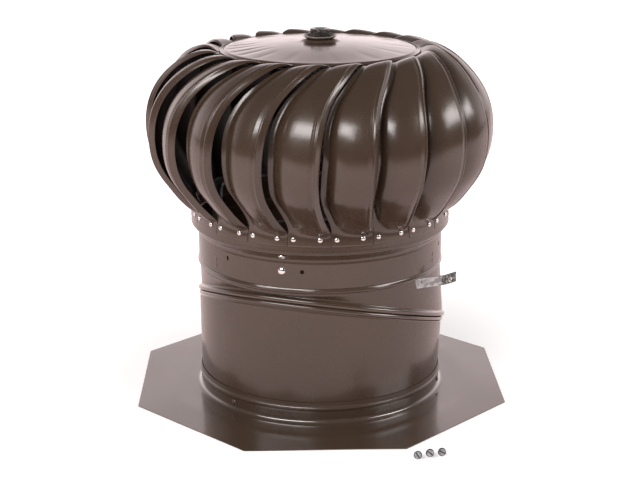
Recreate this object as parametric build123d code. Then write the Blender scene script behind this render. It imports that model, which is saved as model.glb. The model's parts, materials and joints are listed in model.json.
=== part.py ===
from build123d import *
import math
import os

# Roof turbine ventilator.  Millimetres, +Z up.
# Origin: centre of the duct opening, in the underside plane of the flashing.
# Bearings round the axis are given from -Y towards +X, in degrees.

# ---------------------------------------------------------------- dimensions
DUCT_R = 152.4            # outer radius of the 12 inch throat
SHEET = 0.8               # throat, collar, vane and cap sheet
FLASH_AF = 457.2          # flashing, across flats (18 inch octagon)
FLASH_T = 1.0             # flashing sheet
NECK_TOP = 27.0           # top edge of the flashing's upturned neck

SEAM_SLANT = 18.0         # slant of the pitch seam
SEAM_UPHILL = -112.6      # compass direction of its high side, from +X
SEAM_C = (1.34, -2.31, 103.9)   # centre of the pitch seam
SEAM_WALL_R = 155.0       # outer radius of both walls where they meet the seam

BEAD_C_Z = 169.4          # stop bead under the turbine collar
COLLAR_BOT = 171.8        # lower edge of the turbine collar
COLLAR_R = 153.6          # outer radius of the turbine collar
FLARE_R = 160.3           # outer edge of the collar's flared top
FLARE_Z = 216.0

RING_BOT = 217.6          # rotor ring, lower edge
RING_TOP = 243.0
RING_R_BOT = 162.4        # rotor ring outer radius, lower edge
RING_R_TOP = 159.9

N_VANES = 20
PITCH = 360.0 / N_VANES
VANE_T = 0.8
PHASE = -1.66             # bearing of vane 1's datum

CAP_R = 122.6             # domed cap rim
CAP_Z = 429.6
CAP_TOP = 441.0

SHAFT_R = 6.0
BEAR_OR = 14.0
BEAR_W = 8.0
BEAR_LO = 290.0           # lower bearing, lower face
BEAR_UP = 384.0           # upper bearing, lower face
BALL_PR = 10.0            # ball pitch radius
BALL_R = 2.38
N_BALLS = 8

ARM_W = 20.0
ARM_T = 3.0
ARM_Z = 284.0             # underside of the brace arms
ARM_BEARINGS = (-57.0, 63.0, 183.0)
LEG_X = 151.15            # outer face of a brace leg
LEG_BOT = 176.0

os.makedirs("parts", exist_ok=True)


# ------------------------------------------------------------------- helpers
def put(name, shape):
    shape.label = name
    export_step(shape, "parts/" + name + ".step")


def pt(bearing, r, z):
    """Point at a compass bearing (from -Y towards +X), radius and height."""
    a = math.radians(bearing)
    return Vector(r * math.sin(a), -r * math.cos(a), z)


def rz(bearing):
    """Rotation that brings the -Y direction to a bearing."""
    return Rot(0, 0, bearing)


def rev(poly, plane=Plane.XZ):
    """Solid of revolution about the plane's own Y axis from (r, h) points."""
    face = plane * make_face(Polyline(*[(p[0], p[1]) for p in poly], close=True))
    return revolve(face, Axis(plane.origin, plane.y_dir), 360)


def strip(line, t):
    """Closed outline of a strip of thickness t about a centre line."""
    n = len(line)
    left, right = [], []
    for i in range(n):
        dirs = []
        if i > 0:
            dirs.append((line[i][0] - line[i - 1][0], line[i][1] - line[i - 1][1]))
        if i < n - 1:
            dirs.append((line[i + 1][0] - line[i][0], line[i + 1][1] - line[i][1]))
        unit = [(d[0] / math.hypot(*d), d[1] / math.hypot(*d)) for d in dirs]
        nx = -sum(u[1] for u in unit)
        ny = sum(u[0] for u in unit)
        m = math.hypot(nx, ny)
        nx, ny = nx / m, ny / m
        k = 1.0
        if len(unit) == 2:
            k = 1.0 / max(0.5, nx * -unit[0][1] + ny * unit[0][0])
        left.append((line[i][0] + nx * t / 2 * k, line[i][1] + ny * t / 2 * k))
        right.append((line[i][0] - nx * t / 2 * k, line[i][1] - ny * t / 2 * k))
    return left + right[::-1]


def arc_pts(cx, cy, r, a0, a1, n):
    return [(cx + r * math.cos(math.radians(a0 + (a1 - a0) * i / n)),
             cy + r * math.sin(math.radians(a0 + (a1 - a0) * i / n))) for i in range(n + 1)]


# ------------------------------------------------------------- the pitch seam
up_dir = Vector(math.cos(math.radians(SEAM_UPHILL)), math.sin(math.radians(SEAM_UPHILL)), 0)
s_, c_ = math.sin(math.radians(SEAM_SLANT)), math.cos(math.radians(SEAM_SLANT))
seam_n = Vector(-s_ * up_dir.X, -s_ * up_dir.Y, c_)            # seam normal, joint axis
seam_x = Vector(c_ * up_dir.X, c_ * up_dir.Y, s_)              # uphill in the seam plane
seam_plane = Plane(origin=SEAM_C, x_dir=seam_x, z_dir=seam_n)
# half plane that holds the seam's section: local x radial, local y along the normal
seam_sec = Plane(origin=SEAM_C, x_dir=seam_x, z_dir=seam_x.cross(seam_n))


def slanted_wall(z_level, h, r_level, r_seam, t):
    """Tube from a level circle to a circle parallel to the pitch seam."""
    level = Plane(origin=(0, 0, z_level), x_dir=up_dir, z_dir=(0, 0, 1))
    slant = Plane(origin=Vector(*SEAM_C) + seam_n * h, x_dir=seam_x, z_dir=seam_n)
    if z_level < SEAM_C[2]:
        a, b = level, slant
    else:
        a, b = slant, level
    ra, rb = (r_level, r_seam) if z_level < SEAM_C[2] else (r_seam, r_level)
    outer = loft([a * Circle(ra), b * Circle(rb)], ruled=True)
    inner = loft([a * Circle(ra - t), b * Circle(rb - t)], ruled=True)
    return outer - inner


# ------------------------------------------------------------- base: flashing
oct_face = Rot(0, 0, 22.5) * RegularPolygon(FLASH_AF / 2, 8, major_radius=False)
plate = extrude(oct_face, FLASH_T) - Pos(0, 0, -1) * Cylinder(167.35, 6)
neck_line = [(167.2, 0.5), (158.6, 0.5), (156.6, 0.9), (155.0, 1.9), (154.0, 3.4), (153.6, 5.2), (153.6, 15.6),
             (153.9, 16.8), (154.5, 18.0), (154.85, 19.2), (154.5, 20.4), (153.9, 21.4), (153.6, 22.6),
             (153.6, NECK_TOP)]
neck = rev(strip(neck_line, 0.8))

# ------------------------------------------------------------ base: throat
throat = Pos(0, 0, 12.0) * (Cylinder(DUCT_R, 24.0) - Cylinder(DUCT_R - SHEET, 24.0))
throat = throat + slanted_wall(24.0, -6.4, DUCT_R, SEAM_WALL_R, SHEET)
lower_ring_line = [(154.6, -6.4), (154.6, -5.9), (155.6, -5.2), (156.4, -4.0), (156.5, -2.6), (155.9, -1.2),
                   (154.9, -0.2), (154.5, 1.0), (155.0, 2.1), (156.2, 2.7), (156.8, 3.6), (156.2, 4.5), (155.0, 4.8)]
throat = throat + rev(strip(lower_ring_line, SHEET), seam_sec)

# the throat's own lap seam rivets and those that hold the flashing to it


def round_rivet(bearing, z, r_in, r_out, head_r, head_h, shank_r, tail_r=None, tail_h=0.9, tilt=0.0):
    """Dome-headed rivet whose shank fills r_in..r_out along a radius."""
    tail_r = tail_r or shank_r * 1.5
    prof = [(0, r_in - tail_h), (tail_r * 0.8, r_in - tail_h), (tail_r, r_in - tail_h * 0.6), (tail_r, r_in),
            (shank_r, r_in), (shank_r, r_out), (head_r, r_out)]
    for i in range(1, 6):
        a = math.radians(90.0 * i / 6)
        prof.append((head_r * math.cos(a), r_out + head_h * math.sin(a)))
    prof.append((0, r_out + head_h))
    solid = rev(prof)                                    # along +Z
    radial = pt(bearing, 1, 0)
    t = math.radians(tilt)
    axis = Vector(radial.X * math.cos(t), radial.Y * math.cos(t), math.sin(t))
    side = Vector(-radial.Y, radial.X, 0)
    org = Vector(radial.X * r_out, radial.Y * r_out, z) - axis * r_out
    return Plane(origin=org, x_dir=side, z_dir=axis).location * solid


def radial_hole(bearing, z, r, depth0=140.0, depth1=175.0, tilt=0.0, r_at=153.0):
    """Drill along a radius; a tilted one passes through (r_at, z)."""
    radial = pt(bearing, 1, 0)
    t = math.radians(tilt)
    axis = Vector(radial.X * math.cos(t), radial.Y * math.cos(t), math.sin(t))
    start = radial * r_at + Vector(0, 0, z) - axis * (r_at - depth0)
    p = Plane(origin=start, x_dir=(-radial.Y, radial.X, 0), z_dir=axis)
    return p.location * Cylinder(r, depth1 - depth0, align=(Align.CENTER, Align.CENTER, Align.MIN))


FLASH_RIVETS = [(75.0, 11.0), (195.0, 11.0), (315.0, 11.0)]
for b, z in FLASH_RIVETS:
    neck = neck - radial_hole(b, z, 1.7)
    throat = throat - radial_hole(b, z, 1.7)
flash_rivets = [round_rivet(b, z, DUCT_R - SHEET - 0.04, 154.0, 3.3, 1.7, 1.65, tail_h=0.45) for b, z in FLASH_RIVETS]

put("base_flashing", plate)
put("flashing_neck", neck)
put("lower_throat", throat)
put("flashing_rivets", Compound(children=flash_rivets))

# ----------------------------------------------- pitch elbow and its stop bead
elbow = slanted_wall(164.6, 7.5, DUCT_R, SEAM_WALL_R, SHEET)
bead_line = [(152.0, 164.6), (152.0, 166.6), (152.9, 167.6), (154.0, 168.4), (154.5, BEAD_C_Z), (153.9, 170.3),
             (152.7, 170.8), (152.0, 171.4), (152.0, 193.0)]
elbow = elbow + rev(strip(bead_line, SHEET))
upper_ring_line = [(154.6, 7.5), (154.6, 6.9), (155.5, 6.2), (157.2, 5.4), (158.1, 4.2), (158.2, 2.9),
                   (157.9, 1.6), (157.3, 0.7)]
elbow = elbow + rev(strip(upper_ring_line, SHEET), seam_sec)
# slit that the lock strap passes through
SLIT_B, SLIT_Z = 48.6, 159.7
slit_p = pt(SLIT_B, 153.0, SLIT_Z)
slit_dir = math.radians(22.3)
slit_loc = Plane(origin=slit_p, x_dir=(math.cos(slit_dir), math.sin(slit_dir), 0), z_dir=(0, 0, 1)).location
elbow = elbow - slit_loc * Box(30, 2.0, 13.0)

# ------------------------------------------------------------- turbine collar
collar_line = [(COLLAR_R - 0.4, COLLAR_BOT), (COLLAR_R - 0.4, 201.5), (152.95, 203.0), (152.75, 204.6), (153.0, 206.2),
               (153.9, 208.2), (156.0, 210.8), (158.3, 213.2), (159.5, 214.7), (159.9, 216.0), (159.95, 218.9)]
collar = rev(strip(collar_line, SHEET))
SCREW_HOLES = [(-47.9, 195.1), (72.1, 195.1), (192.1, 195.1)]
slot_cut = []
for b, z in SCREW_HOLES:
    radial = pt(b, 1, 0)
    side = Vector(-radial.Y, radial.X, 0)
    p = Plane(origin=radial * 145 + Vector(0, 0, z), x_dir=side, z_dir=radial)
    slot_cut.append(p.location * (extrude(Rot(0, 0, 90) * SlotOverall(6.0, 3.2), 20)))
for s in slot_cut:
    collar = collar - s
PILOT = (-9.5, 192.3)
collar = collar - radial_hole(PILOT[0], PILOT[1], 2.5)
COLLAR_RIVET = (-18.7, 191.9)
COLLAR_RIVET_UP = (-18.1, 211.2)
LEG_RIVETS = [(b, z) for b in ARM_BEARINGS for z in (180.0, 188.0)]
for b, z in LEG_RIVETS:
    collar = collar - radial_hole(b, z, 2.05)
    elbow = elbow - radial_hole(b, z, 2.05)
collar = collar - radial_hole(COLLAR_RIVET[0], COLLAR_RIVET[1], 2.05)
elbow = elbow - radial_hole(COLLAR_RIVET[0], COLLAR_RIVET[1], 2.05)
big = round_rivet(COLLAR_RIVET[0], COLLAR_RIVET[1], DUCT_R - SHEET - 0.06, COLLAR_R, 4.6, 2.3, 2.0)
# rivet on the flare, square to its slope
fr, fz, ftilt = 156.3, 211.2, -48.0
frad = pt(COLLAR_RIVET_UP[0], 1, 0)
ft = math.radians(ftilt)
faxis = Vector(frad.X * math.cos(ft), frad.Y * math.cos(ft), math.sin(ft))
fside = Vector(-frad.Y, frad.X, 0)
flare_loc = Plane(origin=Vector(frad.X * fr, frad.Y * fr, fz), x_dir=fside, z_dir=faxis).location
collar = collar - flare_loc * Cylinder(1.85, 8)
fl_prof = [(0, -2.3), (2.4, -2.3), (2.8, -1.8), (2.8, -1.35), (1.8, -1.35), (1.8, 1.25), (4.4, 1.25)] + \
          [(4.4 * math.cos(math.radians(15 * i)), 1.25 + 1.9 * math.sin(math.radians(15 * i))) for i in range(1, 6)] + [(0, 3.15)]
flare_rivet = flare_loc * rev(fl_prof)
put("pitch_elbow", elbow)
put("turbine_collar", collar)
put("collar_seam_rivets", Compound(children=[big, flare_rivet]))

# ----------------------------------------------------------------- lock strap
STRAP_H, STRAP_T = 12.0, 1.0
inner_dir = Vector(math.cos(math.radians(SLIT_B)), math.sin(math.radians(SLIT_B)), 0)     # along the wall
out_dir = Vector(math.cos(slit_dir), math.sin(slit_dir), 0)
side_out = pt(SLIT_B, 1, 0)
p1 = slit_p - out_dir * 7.5
p0 = p1 - inner_dir * 20.0 - side_out * 1.2
p2 = slit_p + out_dir * 37.5
fold_dir = Vector(math.cos(slit_dir + math.radians(20)), math.sin(slit_dir + math.radians(20)), 0)
p3 = p2 + fold_dir * 20.0


def plan_strip(points, t, z0, z1):
    out = strip([(p.X, p.Y) for p in points], t)
    return extrude(Pos(0, 0, z0) * make_face(Polyline(*out, close=True)), z1 - z0)


strap = plan_strip([p0, p1, p2, p3], STRAP_T, SLIT_Z - STRAP_H / 2, SLIT_Z + STRAP_H / 2)
back_side = Vector(fold_dir.Y, -fold_dir.X, 0)                        # the side that faces outwards
q0 = p3 + back_side * 1.05
q1 = p2 + fold_dir * 1.5 + back_side * 1.05
hem = plan_strip([q0, q1], STRAP_T, SLIT_Z - STRAP_H / 2, SLIT_Z + STRAP_H / 2)
turn = plan_strip([p3 - fold_dir * 0.6 + back_side * 0.52, p3 + fold_dir * 0.3 + back_side * 0.52], 2.05, SLIT_Z - STRAP_H / 2, SLIT_Z + STRAP_H / 2)
strap = strap + hem + turn
eye_c = p2 + fold_dir * 9.0 + Vector(0, 0, -1.0)
eye_loc = Plane(origin=eye_c, x_dir=fold_dir, z_dir=back_side).location
strap = strap - eye_loc * Cylinder(2.0, 12)
hole_c = slit_p + out_dir * 6.0 + Vector(0, 0, 1.6)
hole_loc = Plane(origin=hole_c, x_dir=out_dir, z_dir=Vector(out_dir.Y, -out_dir.X, 0)).location
strap = strap - hole_loc * Cylinder(1.2, 12)
put("lock_strap", strap)
eyelet = eye_loc * rev([(1.3, -1.0), (2.0, -1.0), (2.0, 1.55), (3.2, 1.55), (3.1, 2.1), (2.4, 2.4), (1.3, 1.9)])
put("strap_eyelet", eyelet)

# ------------------------------------------------- brace arms and bearing tube
tube = rev([(12.4, ARM_Z - 0.0 + 3.2 + 10.8), (12.4, BEAR_UP), (BEAR_OR, BEAR_UP), (BEAR_OR, 394.5), (17.0, 394.5),
            (17.0, 287.0), (BEAR_OR, 287.0), (BEAR_OR, BEAR_LO + BEAR_W), (12.4, BEAR_LO + BEAR_W)])
hub = rev([(17.0, 280.8), (30.0, 280.8), (30.0, ARM_Z), (17.0, ARM_Z)]) + \
    rev([(14.6, 278.0), (17.0, 278.0), (17.0, ARM_Z), (17.0, 287.0), (14.6, 287.0)])
arm_rivets = []
leg_rivets = []
arm_bend = 8.0
hub_holes = []
for i, b in enumerate(ARM_BEARINGS):
    line = [(17.3, ARM_Z + ARM_T / 2), (LEG_X - ARM_T / 2 - arm_bend, ARM_Z + ARM_T / 2)]
    line += arc_pts(LEG_X - ARM_T / 2 - arm_bend, ARM_Z + ARM_T / 2 - arm_bend, arm_bend, 90, 0, 6)[1:]
    line += [(LEG_X - ARM_T / 2, LEG_BOT)]
    arm = extrude(Plane.XZ * make_face(Polyline(*strip(line, ARM_T), close=True)), ARM_W / 2, both=True)
    arm = Rot(0, 0, -90 + b) * arm
    for zz in (180.0, 188.0):
        arm = arm - radial_hole(b, zz, 2.05, 130, 160)
    hc = pt(b, 24.0, ARM_Z)
    arm = arm - Pos(hc.X, hc.Y, hc.Z) * Cylinder(2.05, 14)
    hub_holes.append(Pos(hc.X, hc.Y, hc.Z) * Cylinder(2.05, 14))
    arm_rivets.append(Pos(hc.X, hc.Y, 0) * rev([(0, 279.8), (2.9, 279.8), (3.3, 280.4), (3.3, 280.8), (2.0, 280.8), (2.0, 287.0),
                                                 (3.8, 287.0), (3.3, 288.2), (2.0, 288.9), (0, 289.2)]))
    put("brace_arm_%d" % (i + 1), arm)
    for zz in (180.0, 188.0):
        leg_rivets.append(round_rivet(b, zz, LEG_X - ARM_T, COLLAR_R, 3.3, 0.55, 2.0, 3.4, 1.2))
for h in hub_holes:
    hub = hub - h
put("bearing_tube", tube)
put("brace_hub", hub)
put("brace_hub_rivets", Compound(children=arm_rivets))
put("brace_leg_rivets", Compound(children=leg_rivets))


def race_pair(z0):
    zc = z0 + BEAR_W / 2
    groove = Pos(0, 0, zc) * Torus(BALL_PR, BALL_R + 0.04)
    outer = rev([(11.8, z0), (BEAR_OR, z0), (BEAR_OR, z0 + BEAR_W), (11.8, z0 + BEAR_W)]) - groove
    inner = rev([(SHAFT_R, z0), (8.2, z0), (8.2, z0 + BEAR_W), (SHAFT_R, z0 + BEAR_W)]) - groove
    balls = [Pos(*[pt(i * 360.0 / N_BALLS, BALL_PR, zc).X, pt(i * 360.0 / N_BALLS, BALL_PR, zc).Y, zc]) * Sphere(BALL_R)
             for i in range(N_BALLS)]
    return outer, inner, balls


lo_outer, lo_inner, lo_balls = race_pair(BEAR_LO)
up_outer, up_inner, up_balls = race_pair(BEAR_UP)
put("lower_bearing_outer_race", lo_outer)
put("upper_bearing_outer_race", up_outer)
put("lower_bearing_balls", Compound(children=lo_balls))
put("upper_bearing_balls", Compound(children=up_balls))
put("lower_bearing_inner_race", lo_inner)
put("upper_bearing_inner_race", up_inner)
put("upper_retaining_ring", rev([(12.6, BEAR_UP + BEAR_W + 0.1), (BEAR_OR, BEAR_UP + BEAR_W + 0.1), (BEAR_OR, BEAR_UP + BEAR_W + 1.3), (12.6, BEAR_UP + BEAR_W + 1.3)]))
put("lower_retaining_ring", rev([(12.6, BEAR_LO - 1.3), (BEAR_OR, BEAR_LO - 1.3), (BEAR_OR, BEAR_LO - 0.1), (12.6, BEAR_LO - 0.1)]))

# ------------------------------------------------------------------ rotor: shaft
SHOULDER = BEAR_UP + BEAR_W
shaft = rev([(0, 281.0), (5.2, 281.0), (SHAFT_R, 281.8), (SHAFT_R, 288.5), (5.4, 288.5), (5.4, 289.8), (SHAFT_R, 289.8),
             (SHAFT_R, SHOULDER), (7.8, SHOULDER), (7.8, 430.0), (10.5, 430.0), (10.5, 437.6), (SHAFT_R, 437.6),
             (SHAFT_R, 455.7), (5.2, 456.5), (0, 456.5)])
put("shaft", shaft)
put("shaft_snap_ring", rev([(5.45, 288.6), (8.3, 288.6), (8.3, 289.7), (5.45, 289.7)]))
put("hub_plate", rev([(6.1, 437.7), (21.5, 437.7), (21.5, 440.1), (6.1, 440.1)]))

# ------------------------------------------------------------- rotor: domed cap
cap_line = [(CAP_R - 0.5, 430.7), (CAP_R - 0.1, 430.1), (CAP_R - 0.9, 429.7), (CAP_R - 2.5, 429.75), (119.2, 430.0), (118.0, 430.5), (117.0, 431.3),
            (115.5, 431.9), (100.0, 433.6), (80.0, 435.8), (60.0, 437.8), (40.0, 439.5), (24.0, 440.5), (20.0, 440.6), (6.3, 440.6)]
cap = rev(strip(cap_line, SHEET))
put("dome_cap", cap)
# dished washer, its rim standing clear of the cap, with a raised seat for the nut
put("top_washer", rev([(6.1, 441.05), (13.0, 441.05), (14.6, 441.4), (19.8, 446.0), (20.7, 447.0), (20.9, 447.6), (20.4, 447.8),
                       (19.8, 447.3), (18.9, 446.5), (14.6, 443.4), (12.6, 443.2), (12.2, 444.8), (6.1, 444.8)]))
nut = Pos(0, 0, 450.3) * (extrude(RegularPolygon(12.0, 6, major_radius=False), 5.4, both=True))
nut = nut & (rev([(6.15, 440), (12.3, 440), (12.9, 445.0), (13.9, 446.2), (13.9, 454.3), (11.9, 455.7), (6.15, 455.7)]))
put("top_nut", nut)

# ------------------------------------------------------------------ rotor: vanes
# outer profile (lip side) and inner profile (trailing side) of a vane, top to foot:
# radius, height, then the bearings of the leading and trailing edge
def tab_r(z):
    return RING_R_TOP + (RING_TOP - z) * (RING_R_BOT - RING_R_TOP) / (RING_TOP - RING_BOT) + 0.2 + VANE_T


VANE = [
    # R_out, Z_out,  R_in,  Z_in,  lead,  trail
    (108.5, 427.5, 108.5, 427.5, 25.4, 8.0),
    (113.0, 427.8, 113.0, 427.8, 25.4, 8.0),
    (118.0, 428.0, 118.0, 427.9, 25.3, 7.9),
    (123.6, 429.2, 123.5, 428.7, 23.9, 6.4),
    (130.0, 433.2, 130.0, 430.2, 21.8, 4.2),
    (137.5, 435.0, 137.0, 429.4, 19.2, 1.5),
    (146.0, 433.5, 144.2, 426.8, 16.4, -1.3),
    (154.5, 429.7, 151.2, 422.2, 13.6, -4.1),
    (168.9, 420.9, 164.0, 411.0, 9.3, -8.6),
    (182.4, 408.8, 173.9, 397.9, 5.5, -12.7),
    (193.9, 395.7, 181.8, 383.6, 2.9, -15.2),
    (203.3, 381.2, 187.8, 369.6, 1.4, -16.5),
    (209.9, 365.4, 191.6, 356.6, 0.5, -16.9),
    (213.4, 348.8, 193.8, 344.2, 0.0, -17.1),
    (214.3, 332.0, 194.3, 332.0, -0.3, -17.2),
    (213.0, 315.2, 192.6, 319.0, -0.5, -17.5),
    (208.9, 298.9, 189.2, 306.0, -0.4, -17.7),
    (201.4, 283.8, 184.0, 293.0, -0.1, -17.8),
    (191.8, 270.1, 176.6, 281.4, 0.7, -17.3),
    (181.5, 256.3, 169.2, 270.6, 1.8, -16.3),
    (171.6, 244.8, 164.2, 259.4, 3.2, -14.8),
    (165.0, 240.6, 161.9, 250.5, 4.2, -13.7),
    (tab_r(237.4), 237.4, tab_r(243.4), 243.4, 4.3, -13.2),
    (tab_r(229.6), 229.6, tab_r(233.6), 233.6, 4.3, -13.2),
    (tab_r(225.6), 225.6, tab_r(225.6), 225.6, 4.3, -13.2),
]
# across a vane: fraction of the way from trailing to leading edge, and how far the
# skin lies from the outer profile (0) to the inner profile (1)
ACROSS = [(0.0, 1.00), (0.10, 1.06), (0.16, 0.86), (0.28, 0.53), (0.45, 0.27),
          (0.66, 0.09), (0.885, 0.0), (1.0, 0.27)]
ROWS = [0, 2, 3, 4, 5, 6, 7, 8, 10, 12, 14, 16, 17, 18, 19, 20, 21, 22, 24]


def vane_point(row, u, w, k=0):
    ro, zo, ri, zi, lead, trail = VANE[row]
    belly = max(0.0, min(1.0, (math.hypot(ro - ri, zo - zi) - 6.0) / 8.0))
    if w > 1.0:
        w = 1.0 + (w - 1.0) * belly
    r = ro + (ri - ro) * w
    z = zo + (zi - zo) * w
    th = trail + (lead - trail) * u + PHASE + PITCH * k
    return pt(th, r, z)


def make_vane():
    """Sheet-metal vane as a closed faceted solid: an outer skin, an inner skin one sheet
    thickness further in, and the strips along its four edges."""
    outer = [[vane_point(row, u, w) for (u, w) in ACROSS] for row in ROWS]
    nr, nc = len(ROWS), len(ACROSS)
    inner = []
    for i in range(nr):
        line = []
        for j in range(nc):
            along = outer[min(i + 1, nr - 1)][j] - outer[max(i - 1, 0)][j]
            across = outer[i][min(j + 1, nc - 1)] - outer[i][max(j - 1, 0)]
            n = along.cross(across).normalized()
            p = outer[i][j]
            if n.X * p.X + n.Y * p.Y + n.Z * 60.0 < 0:
                n = n * -1.0
            if i >= nr - 2:                              # the riveted tab is a plain cone
                rad = Vector(p.X, p.Y, 0).normalized()
                n = rad * math.cos(math.radians(RING_TILT)) + Vector(0, 0, math.sin(math.radians(RING_TILT)))
            line.append(p - n * VANE_T)
        inner.append(line)
    faces = []

    def tri(p, q, r):
        faces.append(Face(Wire.make_polygon([p, q, r], close=True)))

    def quad(p, q, r, s):
        if (p - r).length <= (q - s).length:
            tri(p, q, r)
            tri(p, r, s)
        else:
            tri(p, q, s)
            tri(q, r, s)

    for i in range(nr - 1):
        for j in range(nc - 1):
            quad(outer[i][j], outer[i][j + 1], outer[i + 1][j + 1], outer[i + 1][j])
            quad(inner[i][j], inner[i + 1][j], inner[i + 1][j + 1], inner[i][j + 1])
    for j in range(nc - 1):
        quad(outer[0][j], inner[0][j], inner[0][j + 1], outer[0][j + 1])
        quad(outer[-1][j], outer[-1][j + 1], inner[-1][j + 1], inner[-1][j])
    for i in range(nr - 1):
        quad(outer[i][0], outer[i + 1][0], inner[i + 1][0], inner[i][0])
        quad(outer[i][-1], inner[i][-1], inner[i + 1][-1], outer[i + 1][-1])
    return Solid(Shell(faces))


RIVET_U = [(0.1, 234.0), (-11.0, 234.0)]
RING_TILT = math.degrees(math.atan2(RING_R_BOT - RING_R_TOP, RING_TOP - RING_BOT))
vane0 = make_vane()
for b, z in RIVET_U:
    vane0 = vane0 - radial_hole(b + PHASE, z, 1.7, 150, 170, RING_TILT, tab_r(z))

ring_line = [(RING_R_TOP - 0.4, RING_TOP), (RING_R_BOT - 0.4, RING_BOT)]
ring = rev(strip(ring_line, SHEET))
vane_rivets = []
for k in range(N_VANES):
    for b, z in RIVET_U:
        bb = b + PHASE + PITCH * k
        ring = ring - radial_hole(bb, z, 1.7, 150, 170, RING_TILT, tab_r(z))
        vane_rivets.append(round_rivet(bb, z, tab_r(z) - 2 * VANE_T - 0.3, tab_r(z) + 0.06, 3.0, 1.7, 1.6, tilt=RING_TILT))
put("rotor_ring", ring)
put("vane_rivets", Compound(children=vane_rivets))
for k in range(N_VANES):
    put("vane_%02d" % (k + 1), Rot(0, 0, PITCH * k) * vane0)
put("top_clamp_ring", rev([(106.0, 424.4), (117.5, 424.4), (117.5, 426.2), (106.0, 426.2)]))


# --------------------------------------------------- loose fixing screws on the floor
def screw():
    """Slotted hex washer head screw along +Z, point at z = 0."""
    body = rev([(0, 0), (0.4, 0.0), (1.9, 3.6), (1.9, 15.0), (5.0, 15.0), (5.0, 15.9), (3.6, 16.2), (3.6, 16.0), (0, 16.0)])
    head = Pos(0, 0, 17.9) * extrude(RegularPolygon(3.6, 6, major_radius=False), 1.9, both=True)
    s = body + head
    return s - Pos(0, 0, 20.0) * Box(12, 1.2, 2.4)


SCREWS = [(104.5, -260.3, 174.0, 38.0), (118.9, -255.4, 180.0, 52.0), (132.9, -253.1, 184.0, 61.0)]
screws = []
sc = screw()
lean = math.degrees(math.asin((5.0 - 0.4) / 15.45))
for x, y, heading, roll in SCREWS:
    # the head's rim and the point both rest on the floor
    body = Rot(0, 0, roll) * sc
    body = Rot(90 - lean, 0, 0) * body                  # +Z of the screw now points to -Y and up
    body = Rot(0, 0, heading - 180) * body
    bb = body.bounding_box()
    body = Pos(x - (bb.min.X + bb.max.X) / 2, y - bb.min.Y, -bb.min.Z) * body
    screws.append(body)
put("fixing_screws", Compound(children=screws))
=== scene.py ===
import json
import math
import bpy
import bmesh
import numpy as np
from mathutils import Vector, Matrix


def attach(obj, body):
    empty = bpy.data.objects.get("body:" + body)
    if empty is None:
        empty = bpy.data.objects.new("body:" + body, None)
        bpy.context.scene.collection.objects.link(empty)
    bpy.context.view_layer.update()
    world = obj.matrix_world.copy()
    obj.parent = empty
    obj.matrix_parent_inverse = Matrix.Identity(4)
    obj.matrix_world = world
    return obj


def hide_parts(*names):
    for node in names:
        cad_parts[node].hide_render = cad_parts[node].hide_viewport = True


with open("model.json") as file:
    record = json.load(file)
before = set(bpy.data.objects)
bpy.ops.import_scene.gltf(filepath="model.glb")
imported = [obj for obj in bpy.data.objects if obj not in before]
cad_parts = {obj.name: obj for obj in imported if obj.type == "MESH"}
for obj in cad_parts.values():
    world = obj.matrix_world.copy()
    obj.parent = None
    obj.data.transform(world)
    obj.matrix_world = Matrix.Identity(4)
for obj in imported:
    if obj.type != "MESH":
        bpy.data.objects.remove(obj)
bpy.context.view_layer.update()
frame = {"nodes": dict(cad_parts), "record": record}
scene = bpy.context.scene
MM = 0.001
PI = math.pi

# ------------------------------------------------------------------ camera
cam_data = bpy.data.cameras.new("camera")
cam_data.lens = 82.2
cam_data.sensor_width = 36.0
cam_data.sensor_fit = "HORIZONTAL"
cam_data.clip_end = 200.0
cam = bpy.data.objects.new("camera", cam_data)
scene.collection.objects.link(cam)
cam.location = (-0.0516, -1.7799, 0.7212)
heading = Vector((0.0516, 1.7799, 0.0)).normalized()
pitch = math.radians(16.73)
look = Vector((heading.x * math.cos(pitch), heading.y * math.cos(pitch), -math.sin(pitch)))
cam.rotation_euler = look.to_track_quat("-Z", "Y").to_euler()
scene.camera = cam
scene.view_settings.view_transform = "Standard"
scene.view_settings.look = "None"


# --------------------------------------------------------------- materials
def node(nt, kind, **kw):
    n = nt.nodes.new(kind)
    for k, v in kw.items():
        setattr(n, k, v)
    return n


def new_mat(name):
    m = bpy.data.materials.new(name)
    m.use_nodes = True
    nt = m.node_tree
    nt.nodes.clear()
    out = node(nt, "ShaderNodeOutputMaterial")
    b = node(nt, "ShaderNodeBsdfPrincipled")
    nt.links.new(b.outputs[0], out.inputs[0])
    tc = node(nt, "ShaderNodeTexCoord")
    return m, nt, b, tc


def noise(nt, tc, scale, detail=2.0, rough=0.5, distort=0.0, stretch=None):
    n = node(nt, "ShaderNodeTexNoise")
    n.inputs["Scale"].default_value = scale
    n.inputs["Detail"].default_value = detail
    n.inputs["Roughness"].default_value = rough
    n.inputs["Distortion"].default_value = distort
    if stretch:
        mp = node(nt, "ShaderNodeMapping")
        mp.inputs["Scale"].default_value = stretch
        nt.links.new(tc.outputs["Object"], mp.inputs["Vector"])
        nt.links.new(mp.outputs[0], n.inputs["Vector"])
    else:
        nt.links.new(tc.outputs["Object"], n.inputs["Vector"])
    return n


def ramp(nt, src, stops):
    r = node(nt, "ShaderNodeValToRGB")
    el = r.color_ramp.elements
    while len(el) < len(stops):
        el.new(0.5)
    for e, (p, c) in zip(el, stops):
        e.position = p
        e.color = (c, c, c, 1.0) if not isinstance(c, (tuple, list)) else tuple(c) + (1.0,)
    nt.links.new(src, r.inputs["Fac"])
    return r


def bump(nt, height, strength, distance, normal=None):
    b = node(nt, "ShaderNodeBump")
    b.inputs["Strength"].default_value = strength
    b.inputs["Distance"].default_value = distance
    nt.links.new(height, b.inputs["Height"])
    if normal is not None:
        nt.links.new(normal, b.inputs["Normal"])
    return b


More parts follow.
